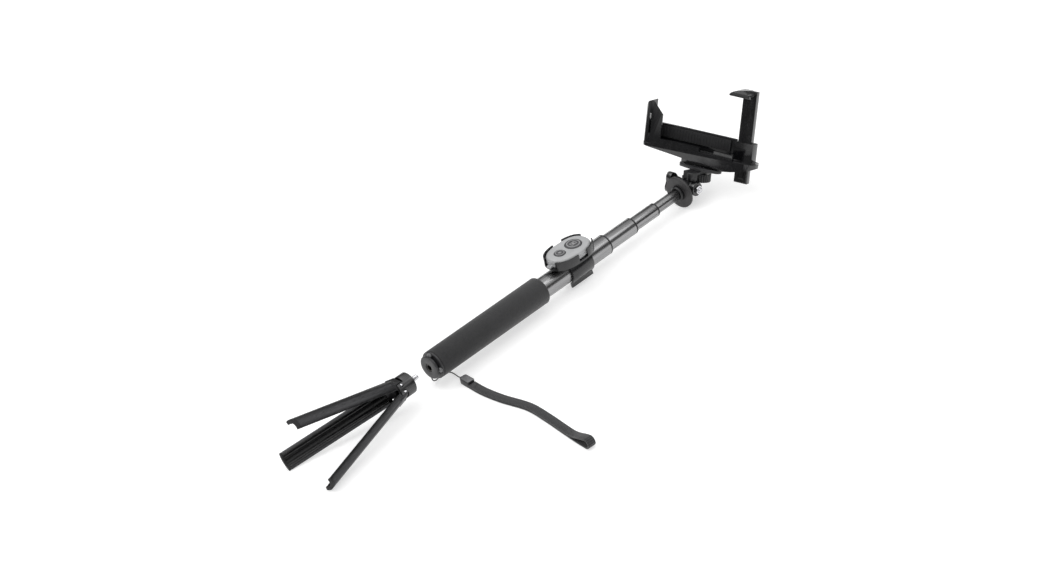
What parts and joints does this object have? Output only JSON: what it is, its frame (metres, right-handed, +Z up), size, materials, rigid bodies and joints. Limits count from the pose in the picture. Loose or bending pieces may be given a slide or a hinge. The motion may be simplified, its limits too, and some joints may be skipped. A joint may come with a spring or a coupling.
{
  "type": "telescopic selfie stick",
  "caption": "Telescopic hand-held stick with a tilting phone cradle, clip-on remote, foam grip, wrist strap and a screw-in mini tripod with hinged legs.",
  "frame": {"origin": "centre of the footprint of the stick and tripod on the surface it lies on, without the wrist strap", "axes": "+X along the stick from the tripod towards the phone head, +Z up, +Y to the left of the stick looking along +X"},
  "size_m": [0.6962, 0.3058, 0.1249],
  "materials": {
    "grey_plastic": "satin",
    "brass": "turned",
    "foam": "fine matte foam",
    "tube_metal": "anodised gunmetal, brushed lengthwise",
    "black_plastic": "satin",
    "gloss_black": "glossy",
    "steel": "bright plated",
    "pad_rubber": "matte",
    "remote_light": "satin light grey",
    "button_grey": "satin",
    "board_green": "solder mask",
    "leg_metal": "anodised gunmetal",
    "webbing": "woven",
    "cord_grey": "braided"
  },
  "bodies": {
    "handle": {"outer_tube": "tube_metal", "foam_grip": "foam", "end_cap": "grey_plastic", "thread_insert": "brass", "mouth_bush_1": "black_plastic", "strap_string": "cord_grey", "strap_slider": "grey_plastic", "wrist_strap": "webbing"},
    "section_2": {"tube_2": "tube_metal", "tail_guide_2": "black_plastic", "mouth_bush_2": "black_plastic"},
    "section_3": {"tube_3": "tube_metal", "tail_guide_3": "black_plastic", "mouth_bush_3": "black_plastic"},
    "section_4": {"tube_4": "tube_metal", "tail_guide_4": "black_plastic", "hub_collar": "black_plastic", "platform_disc": "grey_plastic", "hinge_base": "grey_plastic"},
    "neck": {"hinge_neck": "black_plastic", "tilt_boss": "gloss_black", "tilt_nut": "steel"},
    "knob": {"tilt_knob": "gloss_black", "tilt_bolt": "steel"},
    "wheel": {"thumb_wheel": "black_plastic", "cradle_screw": "steel"},
    "cradle": {"cradle_base": "gloss_black", "mount_plate": "grey_plastic", "plate_screw_1": "steel", "plate_screw_2": "steel", "floor_pad": "pad_rubber", "arm_pad": "pad_rubber", "back_pad": "pad_rubber"},
    "clamp": {"clamp_post": "gloss_black", "hook_pad": "pad_rubber"},
    "clip": {"tube_clip": "gloss_black", "remote_cup": "gloss_black"},
    "remote": {"remote_bottom": "remote_light", "remote_top": "remote_light", "circuit_board": "board_green", "coin_cell": "steel"},
    "big_key": {"big_button": "button_grey"},
    "small_key": {"small_button": "button_grey"},
    "tripod": {"tripod_collar": "leg_metal", "tripod_stud": "steel", "leg_pin_1": "steel", "leg_pin_2": "steel", "leg_pin_3": "steel"},
    "leg_up": {"leg_1": "leg_metal", "foot_1": "pad_rubber"},
    "leg_right": {"leg_2": "leg_metal", "foot_2": "pad_rubber"},
    "leg_left": {"leg_3": "leg_metal", "foot_3": "pad_rubber"}
  },
  "joints": [
    {"name": "extend_2", "type": "slide", "parent": "handle", "child": "section_2", "axis": [0.9998, 0, -0.0175], "range_m": [-0.037, 0.186]},
    {"name": "extend_3", "type": "slide", "parent": "section_2", "child": "section_3", "axis": [0.9998, 0, -0.0175], "range_m": [-0.032, 0.187]},
    {"name": "extend_4", "type": "slide", "parent": "section_3", "child": "section_4", "axis": [0.9998, 0, -0.0175], "range_m": [-0.034, 0.182]},
    {"name": "tilt", "type": "hinge", "parent": "section_4", "child": "neck", "pos_m": [0.26245, -0.00406, 0.01926], "axis": [0, 1, 0], "range_deg": [-20, 68]},
    {"name": "knob_turn", "type": "hinge", "parent": "neck", "child": "knob", "pos_m": [0.26245, -0.00406, 0.01926], "axis": [0, 1, 0], "continuous": true},
    {"name": "wheel_turn", "type": "hinge", "parent": "neck", "child": "wheel", "pos_m": [0.28045, -0.00406, 0.01202], "axis": [0.373, 0, 0.9278], "continuous": true},
    {"name": "pan", "type": "hinge", "parent": "neck", "child": "cradle", "pos_m": [0.28045, -0.00406, 0.01202], "axis": [0.373, 0, 0.9278], "continuous": true},
    {"name": "clamp_slide", "type": "slide", "parent": "cradle", "child": "clamp", "axis": [0.373, 0, 0.9278], "range_m": [-0.03, 0.008]},
    {"name": "clip_slide", "type": "slide", "parent": "handle", "child": "clip", "axis": [0.9998, 0, -0.0175], "range_m": [-0.02, 0.03]},
    {"name": "remote_lift", "type": "slide", "parent": "clip", "child": "remote", "axis": [0.0175, 0, 0.9998], "range_m": [0, 0.03]},
    {"name": "big_press", "type": "slide", "parent": "remote", "child": "big_key", "axis": [0.0175, 0, 0.9998], "range_m": [-0.0006, 0], "stiffness_N_per_m": 400},
    {"name": "small_press", "type": "slide", "parent": "remote", "child": "small_key", "axis": [0.0175, 0, 0.9998], "range_m": [-0.0006, 0], "stiffness_N_per_m": 400},
    {"name": "tripod_screw_in", "type": "slide", "parent": "handle", "child": "tripod", "axis": [0.9998, 0, -0.0175], "range_m": [0, 0.029]},
    {"name": "leg_up_swing", "type": "hinge", "parent": "tripod", "child": "leg_up", "pos_m": [-0.20907, -0.00406, 0.03649], "axis": [0, 1, 0], "range_deg": [-14, 40]},
    {"name": "leg_right_swing", "type": "hinge", "parent": "tripod", "child": "leg_right", "pos_m": [-0.2093, -0.01186, 0.02299], "axis": [0.0151, -0.5, 0.8659], "range_deg": [-14, 40]},
    {"name": "leg_left_swing", "type": "hinge", "parent": "tripod", "child": "leg_left", "pos_m": [-0.2093, 0.00373, 0.02299], "axis": [-0.0151, -0.5, -0.8659], "range_deg": [-14, 40]}
  ]
}
